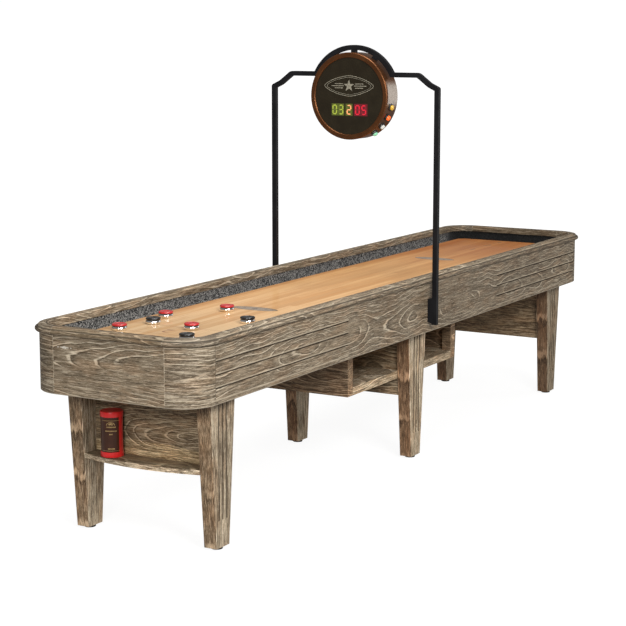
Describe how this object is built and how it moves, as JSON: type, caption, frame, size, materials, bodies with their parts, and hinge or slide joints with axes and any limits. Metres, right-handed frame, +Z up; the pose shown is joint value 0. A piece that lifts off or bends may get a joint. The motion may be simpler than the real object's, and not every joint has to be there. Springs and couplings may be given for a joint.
{
  "type": "shuffleboard table",
  "caption": "Home shuffleboard table: grooved rounded cabinet, honey playing board in a carpeted gutter, tapered fluted legs, open shelves and an arch with a round electronic scorer.",
  "frame": {"origin": "on the floor, under the middle of the table", "axes": "+X along the table, from the end with the pucks to the empty end; +Y across it, towards its left side seen from the puck end; +Z up"},
  "size_m": [3.682, 0.825, 1.7959],
  "materials": {
    "weathered_wood": "weathered grey-brown with a pale open grain, low sheen",
    "bearer_wood": "plain unfinished structural timber",
    "charcoal_carpet": "short charcoal carpet",
    "maple": "honey maple strips under thick clear gloss",
    "zinc_steel": "bright zinc plate",
    "black_metal": "satin black",
    "bronze_metal": "brushed, dark antique bronze",
    "dark_face": "dark printed face, semi-gloss",
    "black_plastic": "matte",
    "board_green": "circuit board",
    "yellow_plastic": "gloss",
    "red_plastic": "gloss",
    "white_plastic": "gloss",
    "green_plastic": "gloss",
    "puck_red": "polished steel base, gloss red cap",
    "puck_black": "polished steel base, gloss black cap",
    "canister_brown": "printed card tube, dark brown",
    "canister_red": "gloss red"
  },
  "bodies": {
    "table": {"adjuster_hardware": "zinc_steel", "arch_brackets": "black_metal", "arch_top": "black_metal", "arch_uprights": "black_metal", "box_ends": "weathered_wood", "box_floors": "weathered_wood", "bracket_bolts": "black_metal", "button_switches": "black_plastic", "circuit_board": "board_green", "corner_blocks": "weathered_wood", "cradle_blocks": "bearer_wood", "cross_beams": "bearer_wood", "digit_modules": "black_plastic", "drum_face": "dark_face", "drum_rim": "bronze_metal", "drum_shell": "bronze_metal", "drum_tabs": "black_metal", "end_apron_far": "weathered_wood", "end_apron_near": "weathered_wood", "end_shelves": "weathered_wood", "gutter_board": "bearer_wood", "gutter_carpet": "charcoal_carpet", "leg_bolts": "zinc_steel", "leg_far_left": "weathered_wood", "leg_far_right": "weathered_wood", "leg_mid_left": "weathered_wood", "leg_mid_right": "weathered_wood", "leg_near_left": "weathered_wood", "leg_near_right": "weathered_wood", "leg_panels": "weathered_wood", "playfield": "maple", "side_apron_left": "weathered_wood", "side_apron_right": "weathered_wood", "top_rail_corners": "weathered_wood", "top_rail_far": "weathered_wood", "top_rail_left": "weathered_wood", "top_rail_near": "weathered_wood", "top_rail_right": "weathered_wood"},
    "leveller_near_left": {"leveller_near_left": "black_metal"},
    "leveller_near_right": {"leveller_near_right": "black_metal"},
    "leveller_mid_left": {"leveller_mid_left": "black_metal"},
    "leveller_mid_right": {"leveller_mid_right": "black_metal"},
    "leveller_far_left": {"leveller_far_left": "black_metal"},
    "leveller_far_right": {"leveller_far_right": "black_metal"},
    "turnbuckle_near": {"turnbuckle_near": "zinc_steel"},
    "turnbuckle_far": {"turnbuckle_far": "zinc_steel"},
    "button_yellow": {"button_yellow": "yellow_plastic"},
    "button_red": {"button_red": "red_plastic"},
    "button_white": {"button_white": "white_plastic"},
    "button_green": {"button_green": "green_plastic"},
    "puck_red_1": {"puck_red_1": "puck_red"},
    "puck_red_2": {"puck_red_2": "puck_red"},
    "puck_red_3": {"puck_red_3": "puck_red"},
    "puck_red_4": {"puck_red_4": "puck_red"},
    "puck_black_1": {"puck_black_1": "puck_black"},
    "puck_black_2": {"puck_black_2": "puck_black"},
    "puck_black_3": {"puck_black_3": "puck_black"},
    "puck_black_4": {"puck_black_4": "puck_black"},
    "canister": {"canister_body": "canister_brown"},
    "canister_lid": {"canister_lid": "canister_red"}
  },
  "joints": [
    {"name": "turn_leveller_near_left", "type": "hinge", "parent": "table", "child": "leveller_near_left", "pos_m": [-1.569, 0.287, 0.03], "axis": [0, 0, 1], "continuous": true},
    {"name": "turn_leveller_near_right", "type": "hinge", "parent": "table", "child": "leveller_near_right", "pos_m": [-1.569, -0.287, 0.03], "axis": [0, 0, 1], "continuous": true},
    {"name": "turn_leveller_mid_left", "type": "hinge", "parent": "table", "child": "leveller_mid_left", "pos_m": [0, 0.287, 0.03], "axis": [0, 0, 1], "continuous": true},
    {"name": "turn_leveller_mid_right", "type": "hinge", "parent": "table", "child": "leveller_mid_right", "pos_m": [0, -0.287, 0.03], "axis": [0, 0, 1], "continuous": true},
    {"name": "turn_leveller_far_left", "type": "hinge", "parent": "table", "child": "leveller_far_left", "pos_m": [1.569, 0.287, 0.03], "axis": [0, 0, 1], "continuous": true},
    {"name": "turn_leveller_far_right", "type": "hinge", "parent": "table", "child": "leveller_far_right", "pos_m": [1.569, -0.287, 0.03], "axis": [0, 0, 1], "continuous": true},
    {"name": "turn_turnbuckle_near", "type": "hinge", "parent": "table", "child": "turnbuckle_near", "pos_m": [-0.75, 0, 0.692], "axis": [0, 1, 0], "continuous": true},
    {"name": "turn_turnbuckle_far", "type": "hinge", "parent": "table", "child": "turnbuckle_far", "pos_m": [0.75, 0, 0.692], "axis": [0, 1, 0], "continuous": true},
    {"name": "press_yellow", "type": "slide", "parent": "table", "child": "button_yellow", "axis": [0, 0.9703, 0.2419], "range_m": [0, 0.003], "stiffness_N_per_m": 300},
    {"name": "press_red", "type": "slide", "parent": "table", "child": "button_red", "axis": [0, 0.8829, 0.4695], "range_m": [0, 0.003], "stiffness_N_per_m": 300},
    {"name": "press_white", "type": "slide", "parent": "table", "child": "button_white", "axis": [0, 0.7431, 0.6691], "range_m": [0, 0.003], "stiffness_N_per_m": 300},
    {"name": "press_green", "type": "slide", "parent": "table", "child": "button_green", "axis": [0, 0.5592, 0.829], "range_m": [0, 0.003], "stiffness_N_per_m": 300},
    {"name": "slide_puck_red_1", "type": "slide", "parent": "table", "child": "puck_red_1", "axis": [1, 0, 0], "range_m": [-0.1, 0.05]},
    {"name": "slide_puck_red_2", "type": "slide", "parent": "table", "child": "puck_red_2", "axis": [1, 0, 0], "range_m": [0, 2.7]},
    {"name": "slide_puck_red_3", "type": "slide", "parent": "table", "child": "puck_red_3", "axis": [1, 0, 0], "range_m": [-0.23, 2.95]},
    {"name": "slide_puck_red_4", "type": "slide", "parent": "table", "child": "puck_red_4", "axis": [1, 0, 0], "range_m": [-0.6, 2.5]},
    {"name": "slide_puck_black_1", "type": "slide", "parent": "table", "child": "puck_black_1", "axis": [1, 0, 0], "range_m": [-0.05, 0.06]},
    {"name": "slide_puck_black_2", "type": "slide", "parent": "table", "child": "puck_black_2", "axis": [1, 0, 0], "range_m": [-0.05, 0.3]},
    {"name": "slide_puck_black_3", "type": "slide", "parent": "table", "child": "puck_black_3", "axis": [1, 0, 0], "range_m": [0, 2.7]},
    {"name": "slide_puck_black_4", "type": "slide", "parent": "table", "child": "puck_black_4", "axis": [1, 0, 0], "range_m": [-0.3, 2.7]},
    {"name": "slide_canister", "type": "slide", "parent": "table", "child": "canister", "axis": [1, 0, 0], "range_m": [-0.2, 0]},
    {"name": "lift_canister_lid", "type": "slide", "parent": "canister", "child": "canister_lid", "axis": [0, 0, 1], "range_m": [0, 0.08]}
  ]
}
